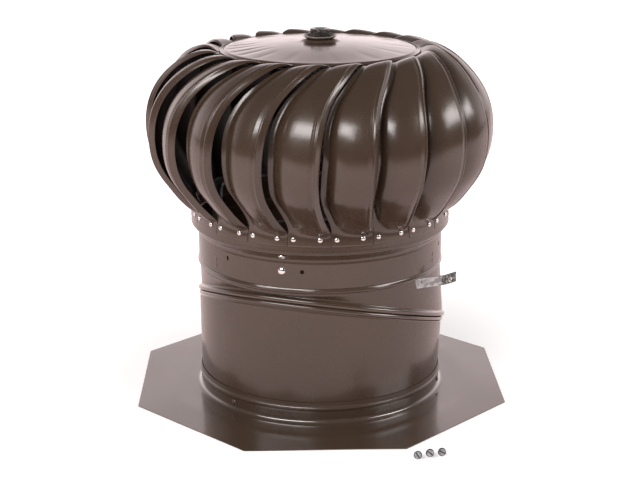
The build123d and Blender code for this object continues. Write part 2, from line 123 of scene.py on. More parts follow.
def paint(name, c_lo, c_hi, rough=(0.20, 0.30), coat=0.38, peel=0.05, coat_rough=0.10):
    """Baked enamel on thin sheet: slow colour drift, patches of haze and fine orange peel."""
    m, nt, b, tc = new_mat(name)
    n1 = noise(nt, tc, 9.0, 4.0, 0.55)
    col = ramp(nt, n1.outputs["Fac"], [(0.30, c_lo), (0.72, c_hi)])
    speck = noise(nt, tc, 520.0, 2.0, 0.5)
    sp = ramp(nt, speck.outputs["Fac"], [(0.40, 0.93), (0.64, 1.05)])
    mul = node(nt, "ShaderNodeMix", data_type="RGBA", blend_type="MULTIPLY")
    mul.inputs["Factor"].default_value = 0.6
    nt.links.new(col.outputs[0], mul.inputs["A"])
    nt.links.new(sp.outputs[0], mul.inputs["B"])
    nt.links.new(mul.outputs["Result"], b.inputs["Base Color"])
    n2 = noise(nt, tc, 22.0, 5.0, 0.6, 0.4)
    rg = ramp(nt, n2.outputs["Fac"], [(0.32, rough[0]), (0.70, rough[1])])
    nt.links.new(rg.outputs[0], b.inputs["Roughness"])
    n3 = noise(nt, tc, 430.0, 2.0, 0.45)
    n4 = noise(nt, tc, 70.0, 2.0, 0.5)
    b1 = bump(nt, n3.outputs["Fac"], peel, 0.0006)
    b2 = bump(nt, n4.outputs["Fac"], peel * 0.6, 0.002, b1.outputs[0])
    nt.links.new(b2.outputs[0], b.inputs["Normal"])
    b.inputs["IOR"].default_value = 1.5
    b.inputs["Coat Weight"].default_value = coat
    b.inputs["Coat Roughness"].default_value = coat_rough
    return m


def metal(name, lo, hi, rough=(0.25, 0.4), spangle=0.0, brushed=None, peel=0.08, scale=180.0):
    m, nt, b, tc = new_mat(name)
    b.inputs["Metallic"].default_value = 1.0
    if spangle:
        v = node(nt, "ShaderNodeTexVoronoi")
        v.inputs["Scale"].default_value = spangle
        v.inputs["Randomness"].default_value = 1.0
        nt.links.new(tc.outputs["Object"], v.inputs["Vector"])
        sep = node(nt, "ShaderNodeSeparateColor")
        nt.links.new(v.outputs["Color"], sep.inputs[0])
        src = sep.outputs[0]
    else:
        src = noise(nt, tc, scale, 4.0, 0.6, 0.3, brushed).outputs["Fac"]
    col = ramp(nt, src, [(0.25, lo), (0.8, hi)])
    nt.links.new(col.outputs[0], b.inputs["Base Color"])
    n2 = noise(nt, tc, 60.0, 4.0, 0.6)
    rg = ramp(nt, n2.outputs["Fac"], [(0.3, rough[0]), (0.7, rough[1])])
    nt.links.new(rg.outputs[0], b.inputs["Roughness"])
    n3 = noise(nt, tc, 900.0, 3.0, 0.5, 0.0, brushed)
    b1 = bump(nt, n3.outputs["Fac"], peel, 0.0002)
    nt.links.new(b1.outputs[0], b.inputs["Normal"])
    return m


M_PAINT = paint("brown_enamel", (0.047, 0.0300, 0.0195), (0.057, 0.0370, 0.0245), rough=(0.24, 0.31), coat=0.36, coat_rough=0.12)
M_CAP = paint("brown_enamel_cap", (0.050, 0.0315, 0.0225), (0.060, 0.0385, 0.0280), rough=(0.17, 0.26), coat=0.50, coat_rough=0.14)
# near-black copy of the brown enamel, put on the inner skin of the vanes as painted shade
M_PAINTED_SHADE_INSIDE = paint("painted_shade_inside", (0.010, 0.0075, 0.006), (0.016, 0.012, 0.0095), rough=(0.45, 0.60), coat=0.0, peel=0.1)
M_FLASH = paint("brown_enamel_flashing", (0.050, 0.0325, 0.0215), (0.061, 0.0400, 0.0270), rough=(0.16, 0.23), coat=1.0)
M_FLASH.node_tree.nodes["Principled BSDF"].inputs["IOR"].default_value = 1.72
M_BEAD = paint("brown_enamel_bead", (0.050, 0.0320, 0.0215), (0.060, 0.0395, 0.0270), rough=(0.15, 0.22), coat=0.75, coat_rough=0.08)
M_ARM = metal("galvanised_in_shade", (0.22, 0.24, 0.24), (0.42, 0.45, 0.45), rough=(0.45, 0.60), spangle=260.0)
M_GALV = metal("galvanised", (0.25, 0.27, 0.27), (0.46, 0.49, 0.49), rough=(0.30, 0.44), spangle=200.0)
# darker copy of the galvanised steel for the strap's bent-out end: painted shade
M_STRAP_END_SHADE = metal("galvanised_painted_shade_end", (0.07, 0.08, 0.08), (0.24, 0.255, 0.25), rough=(0.22, 0.40), spangle=420.0, peel=0.3)
M_RIVET = metal("rivet_aluminium", (0.66, 0.65, 0.64), (0.86, 0.85, 0.84), rough=(0.12, 0.20), peel=0.10, scale=400.0)
M_BEAR = metal("bearing_steel", (0.62, 0.62, 0.63), (0.80, 0.80, 0.80), rough=(0.10, 0.18), peel=0.03)
M_SPRING = metal("spring_steel", (0.10, 0.10, 0.105), (0.20, 0.20, 0.20), rough=(0.30, 0.45))
M_SHAFT = metal("turned_steel", (0.42, 0.42, 0.42), (0.62, 0.62, 0.61), rough=(0.20, 0.34), brushed=(1.0, 1.0, 40.0))
M_ZINC = metal("zinc_screw", (0.17, 0.185, 0.195), (0.66, 0.70, 0.73), rough=(0.28, 0.44), peel=0.35, scale=300.0)
M_ZINC.node_tree.nodes["Principled BSDF"].inputs["Metallic"].default_value = 0.45
M_NUT = metal("dark_nut_steel", (0.035, 0.031, 0.030), (0.42, 0.39, 0.38), rough=(0.18, 0.34), peel=0.35, scale=240.0)
# pale copy of the enamel for the washer's rolled rim: a painted highlight
M_RIM_HIGHLIGHT = paint("painted_highlight_rim", (0.26, 0.225, 0.20), (0.38, 0.335, 0.30), rough=(0.22, 0.32), coat=0.4, peel=0.12)
M_SLOT = metal("zinc_in_shadow", (0.010, 0.011, 0.012), (0.040, 0.042, 0.045), rough=(0.40, 0.55), peel=0.2, scale=300.0)
M_WASHER = paint("washer_enamel", (0.070, 0.056, 0.048), (0.120, 0.100, 0.088), rough=(0.16, 0.26), coat=0.6, peel=0.10)

by_slot = {"brown_paint": M_PAINT, "galvanised_steel": M_GALV, "rivet_metal": M_RIVET, "bearing_steel": M_BEAR,
           "spring_steel": M_SPRING, "shaft_steel": M_SHAFT, "dark_nut": M_NUT, "zinc_screw": M_ZINC}
for sub in frame["record"]["subparts"]:
    ob = frame["nodes"][sub["node"]]
    mat = by_slot[sub["material_slot"]]
    if sub["node"] == "top_washer":
        mat = M_WASHER
    if sub["node"].startswith("brace_") or sub["node"] in ("bearing_tube", "hub_plate", "top_clamp_ring", "shaft"):
        mat = M_ARM
    if sub["node"] == "brace_leg_rivets":
        mat = M_PAINT
    if not ob.data.materials:
        ob.data.materials.append(mat)
    for i in range(len(ob.material_slots)):
        ob.material_slots[i].material = mat


# ----------------------------------------------------------------- helpers
def unit(a):
    return a / np.maximum(np.linalg.norm(a, axis=-1, keepdims=True), 1e-12)


def smooth_line(pts, per):
    """Centripetal Catmull-Rom curve through a list of points of any dimension."""
    p = np.asarray(pts, float)
    p = np.vstack([2 * p[0] - p[1], p, 2 * p[-1] - p[-2]])
    out = []
    for i in range(1, len(p) - 2):
        p0, p1, p2, p3 = p[i - 1], p[i], p[i + 1], p[i + 2]
        t0 = 0.0
        t1 = t0 + max(np.linalg.norm(p1 - p0), 1e-6) ** 0.5
        t2 = t1 + max(np.linalg.norm(p2 - p1), 1e-6) ** 0.5
        t3 = t2 + max(np.linalg.norm(p3 - p2), 1e-6) ** 0.5
        n = per[i - 1] if isinstance(per, (list, tuple)) else per
        for t in np.linspace(t1, t2, n, endpoint=False):
            a1 = (t1 - t) / (t1 - t0) * p0 + (t - t0) / (t1 - t0) * p1
            a2 = (t2 - t) / (t2 - t1) * p1 + (t - t1) / (t2 - t1) * p2
            a3 = (t3 - t) / (t3 - t2) * p2 + (t - t2) / (t3 - t2) * p3
            b1 = (t2 - t) / (t2 - t0) * a1 + (t - t0) / (t2 - t0) * a2
            b2 = (t3 - t) / (t3 - t1) * a2 + (t - t1) / (t3 - t1) * a3
            out.append((t2 - t) / (t2 - t1) * b1 + (t - t1) / (t2 - t1) * b2)
    out.append(p[-2])
    return np.array(out)


def wob(x, y, seed, amp, waves=((2.1, 0.6), (3.7, 1.3), (5.3, 2.2), (7.9, 3.1))):
    """Smooth waviness of thin sheet: a handful of sines with fixed phases."""
    rng = np.random.default_rng(seed)
    s = 0.0
    for kx, ky in waves:
        p1, p2 = rng.uniform(0, 2 * PI, 2)
        s = s + np.sin(kx * x + p1) * np.cos(ky * y + p2) / len(waves)
    return s * amp


def polar(bearing_deg, r, z):
    a = np.radians(bearing_deg)
    return np.stack([r * np.sin(a), -r * np.cos(a), z + 0 * a], axis=-1)


def grid_normals(P, wrap):
    du = np.gradient(P, axis=0)
    dv = (np.roll(P, -1, 1) - np.roll(P, 1, 1)) if wrap else np.gradient(P, axis=1)
    return unit(np.cross(du, dv))


def add(name, V, F, mat, body, replaces=(), sharp=35.0):
    me = bpy.data.meshes.new(name)
    me.from_pydata((np.asarray(V) * MM).tolist(), [], F)
    bm = bmesh.new()
    bm.from_mesh(me)
    bmesh.ops.recalc_face_normals(bm, faces=bm.faces)
    bm.to_mesh(me)
    bm.free()
    me.polygons.foreach_set("use_smooth", [True] * len(me.polygons))
    me.set_sharp_from_angle(angle=math.radians(sharp))
    me.materials.append(mat)
    ob = bpy.data.objects.new(name, me)
    scene.collection.objects.link(ob)
    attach(ob, body)
    if replaces:
        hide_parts(*replaces)
    return ob


def sheet(outer, inner, wrap, holes=(), rim=0.45):
    """Closed solid sheet between two grids of points, with rounded rims and optional holes.
    holes: (ic, jc, hy, hx, half_i, half_j, outline) with outline(angle) -> distance in mm."""
    nr, nc = outer.shape[:2]
    V = [outer.reshape(-1, 3), inner.reshape(-1, 3)]
    base = 2 * nr * nc
    F = []
    skip = np.zeros((nr, nc), bool)
    for (ic, jc, hy, hx, hi, hj, outline) in holes:
        i0, j0 = int(round(ic)) - hi, int(round(jc)) - hj
        for i in range(i0, i0 + 2 * hi):
            for j in range(j0, j0 + 2 * hj):
                skip[i, j % nc] = True
    O = lambda i, j: i * nc + (j % nc)
    I = lambda i, j: nr * nc + i * nc + (j % nc)
    for i in range(nr - 1):
        for j in range(nc if wrap else nc - 1):
            if skip[i, j]:
                continue
            F.append((O(i, j), O(i, j + 1), O(i + 1, j + 1), O(i + 1, j)))
            F.append((I(i, j), I(i + 1, j), I(i + 1, j + 1), I(i, j + 1)))

    def rim_loop(cells, outward, closed=True):
        nonlocal base
        mids = []
        for (i, j), d in zip(cells, outward):
            a, b = outer[i, j % nc], inner[i, j % nc]
            mids.append((a + b) / 2 + d * np.linalg.norm(a - b) * rim)
        V.append(np.array(mids))
        n = len(cells)
        for k in range(n if closed else n - 1):
            (i, j), (i2, j2) = cells[k], cells[(k + 1) % n]
            m, m2 = base + k, base + (k + 1) % n
            F.append((O(i, j), m, m2, O(i2, j2)))
            F.append((m, I(i, j), I(i2, j2), m2))
        base += n

    if wrap:
        for i, i2 in ((0, 1), (nr - 1, nr - 2)):
            rim_loop([(i, j) for j in range(nc)], unit(outer[i] - outer[i2]))
    else:
        cells, outw = [], []
        d = lambda a, b: unit(outer[a] - outer[b])
        for j in range(nc):
            cells.append((0, j)); outw.append(d((0, j), (1, j)))
        for i in range(1, nr):
            cells.append((i, nc - 1)); outw.append(d((i, nc - 1), (i, nc - 2)))
        for j in range(nc - 2, -1, -1):
            cells.append((nr - 1, j)); outw.append(d((nr - 1, j), (nr - 2, j)))
        for i in range(nr - 2, 0, -1):
            cells.append((i, 0)); outw.append(d((i, 0), (i, 1)))
        rim_loop(cells, outw)

    def at(G, fi, fj):
        i, j = int(math.floor(fi)), int(math.floor(fj))
        a, b = fi - i, fj - j
        g = lambda p, q: G[p, q % nc]
        return (1 - a) * ((1 - b) * g(i, j) + b * g(i, j + 1)) + a * ((1 - b) * g(i + 1, j) + b * g(i + 1, j + 1))

    for (ic, jc, hy, hx, hi, hj, outline) in holes:
        i0, j0 = int(round(ic)) - hi, int(round(jc)) - hj
        ring = [(i0, j) for j in range(j0, j0 + 2 * hj)] + [(i, j0 + 2 * hj) for i in range(i0, i0 + 2 * hi)] + \
               [(i0 + 2 * hi, j) for j in range(j0 + 2 * hj, j0, -1)] + [(i, j0) for i in range(i0 + 2 * hi, i0, -1)]
        n = len(ring)
        loops = {}
        for side, G in (("o", outer), ("i", inner)):
            for f in (0.5, 0.82, 1.0):
                vs = []
                for (i, j) in ring:
                    dy, dx = (i - ic) * hy, (j - jc) * hx
                    dist = math.hypot(dx, dy)
                    out = outline(math.atan2(dy, dx))
                    rr = dist + (out - dist) * f
                    vs.append(at(G, ic + dy / dist * rr / hy, jc + dx / dist * rr / hx))
                V.append(np.array(vs))
                loops[(side, f)] = base
                base += n
        for k in range(n):
            k2 = (k + 1) % n
            (i, j), (i2, j2) = ring[k], ring[k2]
            lo = [[O(i, j), O(i2, j2)]] + [[loops[("o", f)] + k, loops[("o", f)] + k2] for f in (0.5, 0.82, 1.0)]
            li = [[I(i, j), I(i2, j2)]] + [[loops[("i", f)] + k, loops[("i", f)] + k2] for f in (0.5, 0.82, 1.0)]
            chain = lo + li[::-1]
            for (a, b), (c, e) in zip(chain[:-1], chain[1:]):
                F.append((a, b, e, c))
    return np.concatenate(V), F


def both_skins(P, N, t):
    return P + N * t / 2, P - N * t / 2


def revolved(profile, nseg, t, seed=None, amp=0.0, holes=(), rim=0.45):
    """Sheet of revolution about Z from a centre line of (r, z)."""
    prof = np.asarray(profile, float)
    b = np.arange(nseg) * 360.0 / nseg
    P = np.stack([polar(b, r, z) for r, z in prof])
    N = grid_normals(P, True)
    if np.sum(N[..., :2] * P[..., :2]) < 0:
        N = -N
    if seed is not None:
        th = np.radians(b)[None, :]
        s = np.cumsum(np.r_[0, np.linalg.norm(np.diff(prof, axis=0), axis=1)])[:, None] / 40.0
        P = P + N * wob(th * 2, s, seed, amp, ((1, 0.7), (2, 1.1), (3, 1.7), (4, 2.3)))[..., None]
    o, i = both_skins(P, N, t)
    return sheet(o, i, True, holes, rim)


def dome_rivets(items, mat, name, body, replaces, seg=22):
    """Rivet heads: (origin, axis, head_r, head_h, shank_r, depth) lathe meshes in one piece."""
    V, F = [], []
    base = 0
    for (org, axis, hr, hh, sr, depth) in items:
        prof = [(0.0, -depth), (sr * 1.35, -depth), (sr * 1.5, -depth + 0.4), (sr * 1.5, -depth + 0.9), (sr, -depth + 1.0), (sr, -0.02),
                (hr * 0.98, 0.0), (hr, 0.12), (hr * 0.99, 0.28)]
        for k in range(1, 8):
            a = math.radians(90.0 * k / 8)
            prof.append((hr * math.cos(a) ** 0.92, 0.28 + (hh - 0.28) * math.sin(a) ** 1.1))
        prof.append((0.0, hh))
        axis = Vector(axis).normalized()
        x = axis.orthogonal().normalized()
        y = axis.cross(x)
        idx = []
        for (r, h) in prof:
            if r == 0.0:
                V.append(Vector(org) + axis * h)
                idx.append([base]); base += 1
            else:
                row = []
                for s in range(seg):
                    a = 2 * PI * s / seg
                    V.append(Vector(org) + axis * h + x * (r * math.cos(a)) + y * (r * math.sin(a)))
                    row.append(base); base += 1
                idx.append(row)
        for a, b in zip(idx[:-1], idx[1:]):
            for s in range(seg):
                s2 = (s + 1) % seg
                if len(a) == 1:
                    F.append((a[0], b[s], b[s2]))
                elif len(b) == 1:
                    F.append((a[s], b[0], a[s2]))
                else:
                    F.append((a[s], b[s], b[s2], a[s2]))
    return add(name, [tuple(v) for v in V], F, mat, body, replaces, sharp=40)


# ---------------------------------------------------------------- flashing
NC = 512
bear = np.arange(NC) * 360.0 / NC
ap = 228.6 - 0.05
off = (bear + 22.5) % 45.0 - 22.5
r_oct = ap / np.cos(np.radians(off))
rows = []
for s in np.r_[0.0, 0.008, 0.03, np.linspace(0.08, 1.0, 22)]:
    r = r_oct * (1 - s) + 169.2 * s
    P = polar(bear, r, np.full(NC, 0.5))
    w = wob(P[:, 0] / 100.0, P[:, 1] / 100.0, 11, 0.55, ((1.3, 0.9), (2.3, 1.1), (1.1, 2.6), (3.3, 2.9)))
    P[:, 2] += np.clip(w + 0.22, 0.0, 1.0) * min(1.0, (1 - s) * 3.0)
    rows.append(P)
neck = [(168.2, 0.5), (162.0, 0.5), (159.6, 0.52), (158.2, 0.66), (156.9, 1.0), (155.7, 1.65), (154.7, 2.6), (154.05, 3.8), (153.7, 5.2), (153.6, 6.8),
        (153.6, 10.0), (153.6, 14.6), (153.7, 16.0), (154.0, 17.2), (154.5, 18.2), (154.75, 19.2), (154.5, 20.2), (154.0, 21.1), (153.65, 22.2),
        (153.55, 23.6), (153.5, 26.9)]
for r, z in smooth_line(neck, 3):
    rows.append(polar(bear, np.full(NC, r), np.full(NC, z)))
P = np.stack(rows)
N = grid_normals(P, True)
if N[5, 5, 2] < 0:
    N = -N
o, i = both_skins(P, N, 0.88)
V, F = sheet(o, i, True)
flash = add("flashing_sheet", V, F, M_FLASH, "base", ("base_flashing", "flashing_neck"))
flash.data.materials.append(M_PAINT)
for f in flash.data.polygons:
    if f.center[2] / MM > 5.6:
        f.material_index = 1

# ------------------------------------------------------------ slanted seam
up_a = math.radians(-112.6)
sl = math.radians(18.0)
UP = np.array([math.cos(up_a), math.sin(up_a), 0.0])
SIDE = np.array([-math.sin(up_a), math.cos(up_a), 0.0])
SN = np.array([-math.sin(sl) * UP[0], -math.sin(sl) * UP[1], math.cos(sl)])
SX = np.array([math.cos(sl) * UP[0], math.cos(sl) * UP[1], math.sin(sl)])
SY = np.cross(SN, SX)
SC = np.array([1.34, -2.31, 103.9])
phi = np.arange(NC) * 2 * PI / NC


def seam_row(r, h):
    return SC + r * (np.cos(phi)[:, None] * SX + np.sin(phi)[:, None] * SY) + h * SN


def level_row(r, z):
    return r * (np.cos(phi)[:, None] * UP + np.sin(phi)[:, None] * SIDE) + np.array([0, 0, z])


def tube(rows, name, seed, mat, body, replaces, t=0.8, amp=0.22, holes=(), fade=None):
    P = np.stack(rows)
    N = grid_normals(P, True)
    if np.sum(N[..., :2] * P[..., :2]) < 0:
        N = -N
    w = wob(phi[None, :], np.arange(len(rows))[:, None] / 14.0, seed, amp, ((3, 0.8), (5, 1.2), (8, 1.7), (13, 2.4)))
    if fade is not None:
        w = w * fade[:, None]
    P = P + N * w[..., None]
    o, i = both_skins(P, N, t)
    V, F = sheet(o, i, True, holes)
    ob = add(name, V, F, mat, body, replaces)
    ob.data.materials.append(M_BEAD)
    for f in ob.data.polygons:
        q = np.array(f.center) / MM - SC
        h = float(np.dot(q, SN))
        if -7.4 < h < 7.6 and float(np.linalg.norm(q - h * SN)) > 154.9:
            f.material_index = 1
        z = f.center[2] / MM
        if 165.0 < z < 171.6 and 152.6 < math.hypot(f.center[0], f.center[1]) / MM < 156.0:
            f.material_index = 1
    return ob


lower_ring = [(154.6, -7.6), (154.6, -6.7), (154.9, -5.9), (155.8, -5.0), (156.4, -3.9), (156.45, -2.7), (155.8, -1.4), (154.9, -0.4),
              (154.5, 0.8), (154.9, 1.9), (156.0, 2.6), (156.7, 3.5), (156.2, 4.4), (155.1, 4.75)]
lev = level_row(152.0, 24.0)
top = seam_row(154.6, -8.4)
rows = [level_row(152.0, z) for z in (0.3, 6.0, 12.0, 18.0, 24.0)]
for t in np.linspace(0, 1, 34)[1:]:
    rows.append(lev * (1 - t) + top * t)
n_wall = len(rows)
for r, h in smooth_line(lower_ring, 3):
    rows.append(seam_row(r, h))
fade = np.r_[np.ones(n_wall - 6), np.linspace(1, 0, 6), np.zeros(len(rows) - n_wall)]
tube(rows, "throat_sheet", 5, M_PAINT, "base", ("lower_throat",), fade=fade)

upper_ring = [(157.3, 0.7), (157.9, 1.7), (158.15, 2.9), (158.0, 4.1), (157.2, 5.2), (156.0, 6.0), (155.0, 6.6), (154.6, 7.5), (154.6, 8.6)]
rows = [seam_row(r, h) for r, h in smooth_line(upper_ring, 3)]
n_ring = len(rows)
bot = seam_row(154.6, 9.4)
lev = level_row(152.0, 162.6)
for t in np.linspace(0, 1, 26)[1:]:
    rows.append(bot * (1 - t) + lev * t)
bead_c = [(152.0, 163.4), (152.0, 164.6), (152.3, 165.4), (153.2, 166.1), (154.2, 166.7), (154.55, 167.5), (154.4, 168.4), (154.05, 169.3),
          (153.65, 170.2), (153.2, 170.95), (152.55, 171.35), (152.05, 171.9), (152.0, 173.0), (152.0, 182.0), (152.0, 189.4)]
for r, z in smooth_line(bead_c, 3):
    rows.append(level_row(r, z))
nw = len(rows) - n_ring
fade = np.r_[np.zeros(n_ring), np.linspace(0, 1, 6), np.ones(nw - 12), np.linspace(1, 0, 6)] if nw > 12 else None
tube(rows, "elbow_sheet", 8, M_PAINT, "pitch_collar", ("pitch_elbow",), fade=fade)

# ------------------------------------------------------------ turbine collar
collar = [(153.2, 171.9), (153.2, 174.0), (153.2, 178.0), (153.2, 182.0), (153.2, 184.0), (153.2, 186.0), (153.2, 188.0), (153.2, 190.0),
          (153.2, 192.0), (153.2, 194.0), (153.2, 196.0), (153.2, 198.0), (153.2, 200.0), (153.15, 201.6), (152.9, 203.0), (152.7, 204.6),
          (152.95, 206.2), (153.9, 208.2), (156.0, 210.8), (158.3, 213.2), (159.5, 214.7), (159.9, 216.0), (159.95, 217.4), (159.95, 218.8)]
prof = np.concatenate([np.array(collar[:12]), smooth_line(collar[12:], 3)])


def slot_outline(a):
    c, s = math.cos(a), math.sin(a)
    lo, hi = 0.0, 8.0
    for _ in range(30):
        m = (lo + hi) / 2
        y = m * s
        dy = max(0.0, abs(y) - 1.4)
        if math.hypot(m * c, dy) < 1.6:
            lo = m
        else:
            hi = m
    return lo


holes = []
hx = 2 * PI * 153.2 / NC
for b_, z_ in ((-47.9, 195.1), (72.1, 195.1), (192.1, 195.1)):
    holes.append((3 + (z_ - 182.0) / 2.0, (b_ % 360.0) / (360.0 / NC), 2.0, hx, 3, 2, slot_outline))
holes.append((3 + (192.3 - 182.0) / 2.0, (-9.5 % 360.0) / (360.0 / NC), 2.0, hx, 3, 3, lambda a: 2.5))
V, F = revolved(prof, NC, 0.8, 21, 0.10, holes)
add("collar_sheet", V, F, M_PAINT, "pitch_collar", ("turbine_collar",))

# ---------------------------------------------------------------- rotor ring
ring = [(159.45, 243.0), (159.6, 241.6), (160.0, 237.5), (160.5, 232.5), (161.0, 227.5), (161.5, 222.5), (161.75, 220.0), (161.95, 218.6), (162.0, 217.7)]
V, F = revolved(smooth_line(ring, 2), NC, 0.8, 31, 0.08)
add("ring_sheet", V, F, M_PAINT, "rotor", ("rotor_ring",))


# --------------------------------------------------------------------- vanes
def tab_r(z):
    return 159.9 + (243.0 - z) * 2.5 / 25.4 + 1.0


PHASE = -1.66
VANE = [
    (108.5, 427.5, 108.5, 427.5, 25.4, 8.0), (113.0, 427.8, 113.0, 427.8, 25.4, 8.0),
    (118.0, 428.0, 118.0, 427.9, 25.3, 7.9), (123.6, 429.3, 123.5, 428.7, 23.9, 6.4),
    (130.0, 433.2, 130.0, 430.2, 21.8, 4.2), (137.5, 435.0, 137.0, 429.4, 19.2, 1.5),
    (146.0, 433.5, 144.2, 426.8, 16.4, -1.4), (154.5, 429.7, 151.2, 422.2, 13.6, -4.2),
    (168.9, 420.9, 164.0, 411.0, 9.3, -8.8), (182.4, 408.8, 173.9, 397.9, 5.5, -12.9),
    (193.9, 395.7, 181.8, 383.6, 2.9, -15.3), (203.3, 381.2, 187.8, 369.6, 1.4, -16.6),
    (209.9, 365.4, 191.6, 356.6, 0.5, -17.0), (213.4, 348.8, 193.8, 344.2, 0.0, -17.1),
    (214.3, 332.0, 194.3, 332.0, -0.3, -17.2), (213.0, 315.2, 192.6, 319.0, -0.5, -17.5),
    (208.9, 298.9, 189.2, 306.0, -0.4, -17.7), (201.4, 283.8, 184.0, 293.0, -0.1, -17.8),
    (191.8, 270.1, 176.6, 281.4, 0.7, -17.3), (181.5, 256.3, 169.2, 270.6, 1.8, -16.3),
    (171.6, 245.8, 164.2, 259.4, 3.2, -14.8), (165.0, 240.6, 161.9, 250.5, 4.1, -13.7),
    (tab_r(237.4), 237.4, tab_r(243.4), 243.4, 4.3, -13.2), (tab_r(231.6), 231.6, tab_r(234.6), 234.6, 4.3, -13.2),
    (tab_r(225.6), 225.6, tab_r(225.6), 225.6, 4.3, -13.2)]
ACROSS = [(0.0, 0.97), (0.03, 1.02), (0.07, 1.06), (0.105, 1.06), (0.13, 0.99), (0.16, 0.86), (0.20, 0.72), (0.28, 0.53),
          (0.38, 0.36), (0.50, 0.22), (0.62, 0.12), (0.72, 0.055), (0.82, 0.012), (0.885, 0.0), (0.92, 0.03), (0.96, 0.13), (1.0, 0.27)]
U = np.r_[np.linspace(0, 0.26, 17)[:-1], np.linspace(0.26, 0.80, 16)[:-1], np.linspace(0.80, 1.0, 27)]
ac = smooth_line(ACROSS, 12)
W = np.interp(U, ac[:, 0], ac[:, 1])
VROWS = smooth_line(VANE, 4)


def vane_mesh(k):
    rng = np.random.default_rng(100 + k)
    ro, zo, ri, zi, lead, trail = [VROWS[:, c][:, None] for c in range(6)]
    s = np.linspace(0, 1, len(VROWS))[:, None]
    mid = np.clip(s * (1 - s) * 4, 0, 1)
    lead = lead + rng.uniform(-0.22, 0.22) * mid + 0.12 * np.sin(s * 9 + rng.uniform(0, 6)) * mid
    trail = trail + rng.uniform(-0.22, 0.22) * mid + 0.12 * np.sin(s * 8 + rng.uniform(0, 6)) * mid
    dr = rng.uniform(-0.5, 0.1) * mid
    edge = (PHASE + 18.0 * k + 180.0) % 360.0 - 180.0
    if -118.0 < edge < -86.0:
        dr = dr + 3.0 * mid ** 2
    belly = np.clip((np.hypot(ro - ri, zo - zi) - 6.0) / 8.0, 0, 1)
    w = np.where(W[None, :] > 1.0, 1.0 + (W[None, :] - 1.0) * belly, W[None, :])
    r = ro + (ri - ro) * w + dr
    z = zo + (zi - zo) * w
    th = trail + (lead - trail) * U[None, :] + PHASE + 18.0 * k
    P = polar(th, r, z)
    N = grid_normals(P, False)
    ref = P * np.array([1, 1, 0]) + np.array([0, 0, 60.0])
    if np.sum(N * ref) < 0:
        N = -N
    width = np.linalg.norm(np.diff(P, axis=1), axis=2).sum(1)[:, None]
    d_lead = (1 - U[None, :]) * width
    on = np.clip((belly - 0.02) * 3.0, 0, 1)
    rib = 0.95 * np.exp(-((d_lead - 6.9) / 1.25) ** 2) - 0.40 * np.exp(-((d_lead - 9.6) / 1.2) ** 2) + 0.42 * np.exp(-((d_lead - 14.6) / 1.3) ** 2)
    dent = wob(s * 6.0, U[None, :] * 3.0, 300 + k, 0.22)
    P = P + N * (rib * on + dent * mid)[..., None]
    N = grid_normals(P, False)
    if np.sum(N * ref) < 0:
        N = -N
    inner = P - N * 0.8
    return sheet(P, inner, False)


for k in range(20):
    V, F = vane_mesh(k)
    ob = add("vane_skin_%02d" % (k + 1), V, F, M_PAINT, "rotor", ("vane_%02d" % (k + 1),), sharp=50)
    # the inner skin of each vane takes the near-black enamel: painted shade inside the head
    ob.data.materials.append(M_PAINTED_SHADE_INSIDE)
    half = len(VROWS) * len(U)
    for f in ob.data.polygons:
        if min(f.vertices) >= half and max(f.vertices) < 2 * half:
            f.material_index = 1

# ---------------------------------------------------------------- domed cap
cap = [(122.1, 430.9), (122.55, 430.45), (122.3, 429.95), (121.5, 429.72), (120.3, 429.78), (119.2, 430.05), (118.1, 430.55),
       (117.1, 431.25), (115.9, 431.75), (114.0, 432.0), (107.0, 432.75), (100.0, 433.55), (90.0, 434.7), (80.0, 435.8), (70.0, 436.85), (60.0, 437.8),
       (50.0, 438.7), (40.0, 439.5), (32.0, 440.05), (26.0, 440.5), (23.6, 441.0), (21.8, 441.9), (20.2, 442.8), (18.9, 443.2), (17.7, 442.9),
       (16.2, 441.8), (14.6, 440.8), (13.0, 440.6), (10.0, 440.6), (6.4, 440.6)]
prof = smooth_line(cap, 2)
b = np.arange(360) * 1.0
P = np.stack([polar(b, r, z) for r, z in prof])
x, y = P[..., 0] / 100.0, P[..., 1] / 100.0
rr = np.hypot(P[..., 0], P[..., 1])
P[..., 2] += wob(x * 2, y * 2, 77, 0.35, ((1.2, 0.8), (2.1, 1.7), (0.9, 2.8), (3.4, 2.2))) * np.clip((115 - rr) / 30, 0, 1) * np.clip((rr - 22) / 20, 0, 1)
pull = np.clip((rr - 58) / 32, 0, 1) ** 1.5 * np.clip((116 - rr) / 5, 0, 1)
for bk, ak, wk in ((-108, 0.40, 3.0), (-95, 0.60, 2.4), (-83, 0.50, 2.8), (-71, 0.65, 2.3), (-59, 0.50, 2.6), (-44, 0.30, 3.0), (-22, 0.22, 3.5),
                   (8, 0.20, 3.0), (35, 0.24, 4.0), (62, 0.24, 3.0), (88, 0.30, 3.0), (120, 0.26, 4.0), (150, 0.3, 3.0), (185, 0.25, 4.0), (215, 0.35, 3.0)):
    d = (b - bk + 180.0) % 360.0 - 180.0
    P[..., 2] -= ak * np.exp(-(d / wk) ** 2)[None, :] * pull
N = grid_normals(P, True)
if N[10, 0, 2] < 0:
    N = -N
o, i = both_skins(P, N, 0.8)
V, F = sheet(o, i, True)
add("cap_sheet", V, F, M_CAP, "rotor", ("dome_cap",))


# ------------------------------------------------- dished washer and nut
def lathe(prof, seg, wave=None):
    """Closed surface of revolution about Z: prof starts and ends anywhere, the loop is closed."""
    P = np.stack([polar(np.arange(seg) * 360.0 / seg, np.full(seg, r), np.full(seg, z)) for r, z in prof])
    if wave is not None:
        P[..., 2] += wave(P)
    n = len(prof)
    F = []
    for i in range(n):
        i2 = (i + 1) % n
        for j in range(seg):
            j2 = (j + 1) % seg
            F.append((i * seg + j, i * seg + j2, i2 * seg + j2, i2 * seg + j))
    return P.reshape(-1, 3), F


